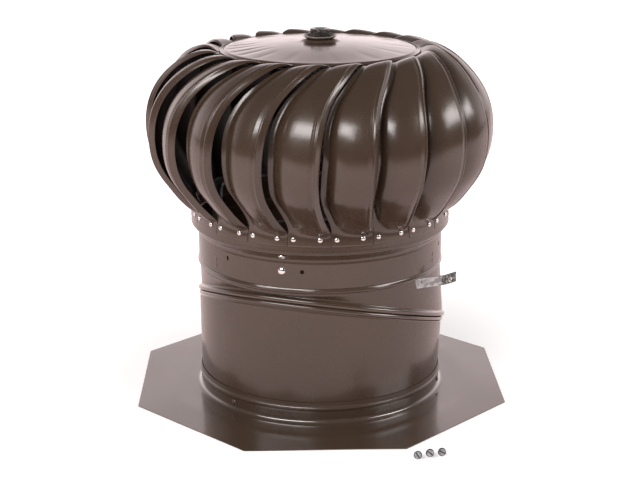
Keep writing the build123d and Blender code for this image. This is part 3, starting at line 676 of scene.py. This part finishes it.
wash = [(6.15, 441.1), (9.5, 441.05), (12.6, 441.08), (13.6, 441.25), (14.5, 441.7), (16.2, 442.95), (18.0, 444.45), (19.5, 445.75),
        (20.35, 446.6), (20.8, 447.25), (20.88, 447.6), (20.7, 447.82), (20.4, 447.8), (20.05, 447.5), (19.3, 446.75), (18.2, 445.75),
        (16.4, 444.3), (15.0, 443.35), (14.0, 443.1), (12.75, 443.05), (12.35, 443.3), (12.2, 443.8), (12.15, 444.6), (12.0, 444.78),
        (9.0, 444.8), (6.15, 444.8)]
V, F = lathe(wash, 128, lambda P: wob(P[..., 0] / 12.0, P[..., 1] / 12.0, 61, 0.16) * np.clip((np.hypot(P[..., 0], P[..., 1]) - 14.0) / 6.0, 0, 1))
dish = add("washer_dish", V, F, M_NUT, "rotor", ("top_washer",), sharp=40)
dish.data.materials.append(M_RIM_HIGHLIGHT)
dish.data.materials.append(M_WASHER)
# rim faces get the pale paint as a painted highlight; the other upper faces get the nut's dark steel as painted shade;
# the underside keeps the washer enamel
for f in dish.data.polygons:
    r = math.hypot(f.center[0], f.center[1]) / MM
    if r > 19.4:
        f.material_index = 1
    elif f.normal[2] < 0:
        f.material_index = 2

SEGN = 144
rows_n = []
af, z_lo, z_hi = 12.0, 444.9, 455.7
hexr = []
for j in range(SEGN):
    a = 2 * PI * j / SEGN
    o6 = (math.degrees(a) + 30.0) % 60.0 - 30.0
    r = af / math.cos(math.radians(o6))
    hexr.append(13.75 - max(0.0, 13.75 - r) if r < 13.75 else 13.75)
hexr = np.array(hexr)
ang = np.arange(SEGN) * 2 * PI / SEGN


def nut_row(r_cap, z):
    r = np.minimum(hexr, r_cap)
    return np.stack([r * np.cos(ang), r * np.sin(ang), np.full(SEGN, z)], axis=-1)


nut_prof = [(6.2, 444.95), (11.2, 444.9), (11.7, 445.05), (12.3, 445.35), (13.0, 445.75), (13.9, 446.3)]
nut_prof += [(13.9, z) for z in np.linspace(447.0, 453.4, 9)]
nut_prof += [(13.6, 453.95), (13.2, 454.35), (12.7, 454.8), (12.2, 455.2), (11.75, 455.52), (11.3, 455.68), (10.6, 455.7), (7.4, 455.7),
             (6.9, 455.55), (6.4, 455.1), (6.2, 454.6)]
rows_n = [nut_row(r, z) for r, z in nut_prof]
P = np.stack(rows_n)
n = len(rows_n)
F = []
for i in range(n):
    i2 = (i + 1) % n
    for j in range(SEGN):
        j2 = (j + 1) % SEGN
        F.append((i * SEGN + j, i * SEGN + j2, i2 * SEGN + j2, i2 * SEGN + j))
add("nut_body", P.reshape(-1, 3), F, M_NUT, "rotor", ("top_nut",), sharp=25)


# -------------------------------------------------------------------- rivets
def radial(bearing, tilt=0.0):
    a, t = math.radians(bearing), math.radians(tilt)
    return Vector((math.sin(a) * math.cos(t), -math.cos(a) * math.cos(t), math.sin(t)))


def at_bearing(bearing, r, z):
    a = math.radians(bearing)
    return Vector((r * math.sin(a), -r * math.cos(a), z))


tilt = math.degrees(math.atan2(2.5, 25.4))
items = []
for k in range(20):
    for bb in (0.1, -11.0):
        bg = bb + PHASE + 18.0 * k
        items.append((at_bearing(bg, tab_r(234.0) + 0.06, 234.0), radial(bg, tilt), 3.0, 1.7, 1.6, 3.0))
dome_rivets(items, M_RIVET, "vane_rivet_heads", "rotor", ("vane_rivets",))
items = [(at_bearing(-18.7, 153.6, 191.9), radial(-18.7), 4.6, 2.3, 2.0, 3.0)]
ax = radial(-18.1, -48.0)
items.append((at_bearing(-18.1, 156.3, 211.2) + ax * 1.25, ax, 4.4, 1.9, 1.8, 3.2))
dome_rivets(items, M_RIVET, "collar_rivet_heads", "pitch_collar", ("collar_seam_rivets",))
items = [(at_bearing(bg, 154.0, 11.0), radial(bg), 3.3, 1.7, 1.65, 3.0) for bg in (75.0, 195.0, 315.0)]
dome_rivets(items, M_PAINT, "flashing_rivet_heads", "base", ("flashing_rivets",))

# ---------------------------------------------------------------- lock strap
sb, sdir, fdir = math.radians(48.6), math.radians(22.3), math.radians(42.3)
slit = np.array([153.0 * math.sin(sb), -153.0 * math.cos(sb), 0.0])
along_wall = np.array([math.cos(sb), math.sin(sb), 0.0])
out_d = np.array([math.cos(sdir), math.sin(sdir), 0.0])
fold_d = np.array([math.cos(fdir), math.sin(fdir), 0.0])
side_d = np.array([math.sin(sb), -math.cos(sb), 0.0])
back_d = np.array([fold_d[1], -fold_d[0], 0.0])
p1 = slit - out_d * 7.5
p0 = p1 - along_wall * 20.0 - side_d * 1.2
p2 = slit + out_d * 37.5
p3 = p2 + fold_d * 20.0
seg = lambda a, c, n: [a + (c - a) * t for t in np.linspace(0, 1, n)]
line = seg(p0, p1, 17) + seg(p1, p2, 37)[1:] + seg(p2, p3, 17)[1:]
line = np.array(line)
for _ in range(3):
    line[1:-1] = line[1:-1] * 0.5 + (line[:-2] + line[2:]) * 0.25
turn = [p3 + back_d * 0.525 * (1 - math.cos(a)) + fold_d * 0.525 * math.sin(a) for a in np.linspace(0, PI, 8)[1:]]
q0 = p3 + back_d * 1.05
q1 = p2 + fold_d * 1.5 + back_d * 1.05
line = np.concatenate([line, np.array(turn), np.array(seg(q0, q1, 16)[1:])])
zs = np.linspace(153.7, 165.7, 13)
T = unit(np.gradient(line, axis=0))
NP = np.stack([T[:, 1], -T[:, 0], np.zeros(len(T))], axis=-1)
P = line[:, None, :] + np.zeros((1, 13, 3))
P[..., 2] = zs[None, :]
ii = np.arange(len(line))[:, None]
soft = np.clip(np.minimum(ii, 66 - ii) / 12.0, 0, 1)
P = P + NP[:, None, :] * (wob(ii / 9.0, zs[None, :] / 6.0, 41, 0.16) * soft)[..., None]
o, i_ = P + NP[:, None, :] * 0.5, P - NP[:, None, :] * 0.5
r_hole = lambda r: (lambda a: r)
V, F = sheet(o, i_, False, [(26.8, 7.6, 1.25, 1.0, 2, 2, r_hole(1.2)), (59.2, 5.0, 1.25, 1.0, 3, 3, r_hole(2.0)),
                            (75 + 8.9, 5.0, 1.233, 1.0, 3, 3, r_hole(2.0))], rim=0.3)
strap = add("strap_sheet", V, F, M_GALV, "pitch_collar", ("lock_strap",), sharp=40)
strap.data.materials.append(M_STRAP_END_SHADE)
# faces past the bend away from the wall take the darker galvanised copy: painted shade on the strap's end
for f in strap.data.polygons:
    if float(np.dot(np.array(f.center) / MM - slit, out_d)) > 33.5:
        f.material_index = 1

# -------------------------------------------------------------- loose screws
def grid_faces(nr, nc, base, wrap):
    F = []
    for i in range(nr - 1):
        for j in range(nc if wrap else nc - 1):
            j2 = (j + 1) % nc
            F.append((base + i * nc + j, base + i * nc + j2, base + (i + 1) * nc + j2, base + (i + 1) * nc + j))
    return F


def screw_mesh():
    V, F = [], []
    n = 28
    # threaded shank: rows follow the helix, ends are capped
    rows = []
    for i in range(121):
        z = 0.05 + 14.95 * i / 120.0
        core = 1.42 if z > 3.6 else 0.25 + 1.17 * z / 3.6
        a = np.arange(n) * 2 * PI / n
        crest = ((z / 1.5 - a / (2 * PI)) % 1.0)
        tooth = np.clip(1 - np.abs(crest - 0.5) / 0.28, 0, 1)
        high = 0.46 * min(1.0, z / 2.5) * (1.0 if z < 13.6 else max(0.0, (14.6 - z)))
        r = core + high * tooth
        rows.append(np.stack([r * np.cos(a), r * np.sin(a), np.full(n, z)], axis=-1))
    P = np.stack(rows)
    V.append(P.reshape(-1, 3))
    F += grid_faces(121, n, 0, True)
    base = 121 * n
    V.append(np.array([[0, 0, 0.0], [0, 0, 15.0]]))
    F += [(base, (j + 1) % n, j) for j in range(n)]
    F += [(base + 1, 120 * n + j, 120 * n + (j + 1) % n) for j in range(n)]
    base += 2
    # washer flange with a rounded rim
    m_ = 48
    prof = [(0.01, 15.02), (4.6, 15.0), (4.9, 15.08), (5.0, 15.3), (5.0, 15.62), (4.9, 15.82), (4.6, 15.92), (4.1, 16.02), (3.5, 16.12), (0.01, 16.12)]
    a = np.arange(m_) * 2 * PI / m_
    P = np.stack([np.stack([r * np.cos(a), r * np.sin(a), np.full(m_, z)], axis=-1) for r, z in prof])
    V.append(P.reshape(-1, 3))
    F += grid_faces(len(prof), m_, base, True)
    last = base + (len(prof) - 1) * m_
    F.append(tuple(base + j for j in range(m_))[::-1])
    F.append(tuple(last + j for j in range(m_)))
    base += P.shape[0] * m_
    # slotted hex head
    xs = np.r_[-3.6, -3.5, np.linspace(-3.2, -0.72, 7), -0.62, -0.58, -0.3, 0.0, 0.3, 0.58, 0.62, np.linspace(0.72, 3.2, 7), 3.5, 3.6]
    vs = np.r_[-1.0, -0.97, np.linspace(-0.9, 0.9, 13), 0.97, 1.0]
    X, W_ = np.meshgrid(xs, vs, indexing="ij")
    Y = W_ * (4.157 - np.abs(X) * math.tan(math.radians(30.0)))
    rr = np.hypot(X, Y)
    top = 19.75 - 0.20 * np.clip((rr - 2.6) / 1.2, 0, 1) ** 2 - 0.55 * np.clip((rr - 3.4) / 0.75, 0, 1)
    top = np.where(np.abs(X) <= 0.6, 18.6, top)
    A = np.stack([X, Y, top], axis=-1)
    B = np.stack([X, Y, np.full_like(X, 16.1)], axis=-1)
    Vh, Fh = sheet(A, B, False, rim=0.0)
    V.append(Vh)
    F += [tuple(q + base for q in f) for f in Fh]
    V = np.concatenate(V)
    shade = []
    for f in F:
        c = V[list(f)].mean(axis=0)
        r = math.hypot(c[0], c[1])
        shade.append(int((c[2] > 17.0 and abs(c[0]) < 0.66 and r < 4.0) or (c[2] > 15.95 and c[2] < 16.4 and r > 3.3)))
    return V, F, shade


lean = math.degrees(math.asin((5.0 - 0.4) / 15.45))
SV, SF, SH = screw_mesh()
allv, allf, base = [], [], 0
for x, y, heading, roll in ((104.5, -260.3, 174.0, 38.0), (118.9, -255.4, 180.0, 52.0), (132.9, -253.1, 184.0, 61.0)):
    R = Matrix.Rotation(math.radians(heading - 180.0), 3, "Z") @ Matrix.Rotation(math.radians(90.0 - lean), 3, "X") @ Matrix.Rotation(math.radians(roll), 3, "Z")
    Q = SV @ np.array(R).T
    Q = Q + np.array([x - (Q[:, 0].min() + Q[:, 0].max()) / 2, y - Q[:, 1].min(), -Q[:, 2].min()])
    allv.append(Q)
    allf += [tuple(q + base for q in f) for f in SF]
    base += len(Q)
screws = add("screws_threaded", np.concatenate(allv), allf, M_ZINC, "base", ("fixing_screws",), sharp=30)
screws.data.materials.append(M_SLOT)
for f, k in zip(screws.data.polygons, SH * 3):
    f.material_index = k

# --------------------------------------------------------- floor, light, world
me = bpy.data.meshes.new("floor")
S = 30.0
me.from_pydata([(-S, -S, -0.0004), (S, -S, -0.0004), (S, S, -0.0004), (-S, S, -0.0004)], [], [(0, 1, 2, 3)])
floor = bpy.data.objects.new("floor", me)
scene.collection.objects.link(floor)
m, nt, b, tc = new_mat("floor_white")
n1 = noise(nt, tc, 0.7, 2.0)
c1 = ramp(nt, n1.outputs["Fac"], [(0.3, (0.78, 0.78, 0.78)), (0.7, (0.80, 0.80, 0.80))])
nt.links.new(c1.outputs[0], b.inputs["Base Color"])
b.inputs["Roughness"].default_value = 0.9
b.inputs["Specular IOR Level"].default_value = 0.1


def math_node(nt, op, a, c=None):
    n = node(nt, "ShaderNodeMath", operation=op)
    for k, v in enumerate((a, c)):
        if v is None:
            continue
        if isinstance(v, (int, float)):
            n.inputs[k].default_value = v
        else:
            nt.links.new(v, n.inputs[k])
    return n.outputs[0]


def mix_color(nt, fac, a, c):
    n = node(nt, "ShaderNodeMix", data_type="RGBA")
    nt.links.new(fac, n.inputs["Factor"])
    for key, v in (("A", a), ("B", c)):
        if isinstance(v, tuple):
            n.inputs[key].default_value = v + (1.0,)
        else:
            nt.links.new(v, n.inputs[key])
    return n.outputs["Result"]


def fade(nt, src, lo, hi):
    n = node(nt, "ShaderNodeMapRange", interpolation_type="SMOOTHSTEP")
    nt.links.new(src, n.inputs["Value"])
    n.inputs["From Min"].default_value = lo
    n.inputs["From Max"].default_value = hi
    return n.outputs["Result"]


# the paper shines a little of its own; what it throws back at the part fades out towards the front and the sides
sep = node(nt, "ShaderNodeSeparateXYZ")
nt.links.new(tc.outputs["Object"], sep.inputs[0])
ax_ = math_node(nt, "ABSOLUTE", sep.outputs["X"])
front = fade(nt, sep.outputs["Y"], -2.3, -1.1)
side = fade(nt, math_node(nt, "SUBTRACT", ax_, math_node(nt, "MULTIPLY", math_node(nt, "MAXIMUM", sep.outputs["Y"], 0.0), 1.5)), 2.0, 3.4)
near = math_node(nt, "MULTIPLY", front, math_node(nt, "SUBTRACT", 1.0, side))
far = node(nt, "ShaderNodeVectorMath", operation="LENGTH")
nt.links.new(tc.outputs["Object"], far.inputs[0])
glow = ramp(nt, math_node(nt, "MULTIPLY", far.outputs["Value"], 0.2), [(0.05, 0.42), (0.14, 0.52), (0.40, 0.90)])
paper = ramp(nt, math_node(nt, "MULTIPLY", far.outputs["Value"], 0.2), [(0.05, 0.45), (0.085, 0.70), (0.13, 1.00), (0.40, 1.00)])
lp = node(nt, "ShaderNodeLightPath")
tint = mix_color(nt, lp.outputs["Is Camera Ray"], (1.0, 0.83, 0.82), (1.0, 1.0, 1.0))
warm = node(nt, "ShaderNodeMix", data_type="RGBA", blend_type="MULTIPLY")
warm.inputs["Factor"].default_value = 1.0
nt.links.new(mix_color(nt, lp.outputs["Is Camera Ray"], glow.outputs[0], paper.outputs[0]), warm.inputs["A"])
nt.links.new(tint, warm.inputs["B"])
warm2 = node(nt, "ShaderNodeMix", data_type="RGBA", blend_type="MULTIPLY")
warm2.inputs["Factor"].default_value = 1.0
nt.links.new(c1.outputs[0], warm2.inputs["A"])
nt.links.new(tint, warm2.inputs["B"])
nt.links.new(warm2.outputs["Result"], b.inputs["Base Color"])
keep = math_node(nt, "MAXIMUM", near, lp.outputs["Is Camera Ray"])
nt.links.new(warm.outputs["Result"], b.inputs["Emission Color"])
nt.links.new(keep, b.inputs["Emission Strength"])
dark = node(nt, "ShaderNodeBsdfDiffuse")
dark.inputs["Color"].default_value = (0.06, 0.06, 0.06, 1.0)
mx = node(nt, "ShaderNodeMixShader")
nt.links.new(keep, mx.inputs[0])
nt.links.new(dark.outputs[0], mx.inputs[1])
nt.links.new(b.outputs[0], mx.inputs[2])
nt.links.new(mx.outputs[0], [n for n in nt.nodes if n.type == "OUTPUT_MATERIAL"][0].inputs[0])
me.materials.append(m)

world = bpy.data.worlds.new("studio")
scene.world = world
world.use_nodes = True
nt = world.node_tree
nt.nodes.clear()
wo = node(nt, "ShaderNodeOutputWorld")
bg = node(nt, "ShaderNodeBackground")
tcw = node(nt, "ShaderNodeTexCoord")
sepw = node(nt, "ShaderNodeSeparateXYZ")
nt.links.new(tcw.outputs["Generated"], sepw.inputs[0])
bright = ramp(nt, sepw.outputs["Z"], [(0.0, (1.05, 0.90, 0.90)), (0.12, (1.12, 0.965, 0.97)), (0.25, (1.0, 0.86, 0.865)), (0.40, (0.66, 0.565, 0.565)), (0.55, (0.27, 0.23, 0.23)), (0.70, 0.085), (1.0, 0.07)])
dim = ramp(nt, sepw.outputs["Z"], [(0.0, 0.07), (0.5, 0.10), (1.0, 0.07)])
side_w = mix_color(nt, fade(nt, sepw.outputs["Y"], -0.05, 0.45), dim.outputs[0], bright.outputs[0])
lpw = node(nt, "ShaderNodeLightPath")
sky = mix_color(nt, lpw.outputs["Is Camera Ray"], side_w, (0.70, 0.70, 0.70))
nt.links.new(sky, bg.inputs["Color"])
bg.inputs["Strength"].default_value = 1.45
nt.links.new(bg.outputs[0], wo.inputs[0])


def area(name, loc, target, size, size_y, power, color=(1, 1, 1)):
    d = bpy.data.lights.new(name, "AREA")
    d.shape = "RECTANGLE"
    d.size = size
    d.size_y = size_y
    d.energy = power
    d.color = color
    o = bpy.data.objects.new(name, d)
    scene.collection.objects.link(o)
    o.location = loc
    o.rotation_euler = (Vector(target) - Vector(loc)).to_track_quat("-Z", "Y").to_euler()
    return o


area("key_left", (-1.50, -2.06, 1.94), (0, 0, 0.35), 2.8, 1.15, 60.0, (1.0, 0.94, 0.93))
area("key_left_core", (-1.47, -2.02, 1.92), (0, 0, 0.35), 1.7, 0.65, 24.0, (1.0, 0.94, 0.93))
area("key_right", (2.52, -0.82, 1.76), (0, 0, 0.35), 2.0, 1.15, 36.0, (1.0, 0.94, 0.93))
area("key_right_core", (2.48, -0.80, 1.74), (0, 0, 0.35), 1.2, 0.65, 13.0, (1.0, 0.94, 0.93))
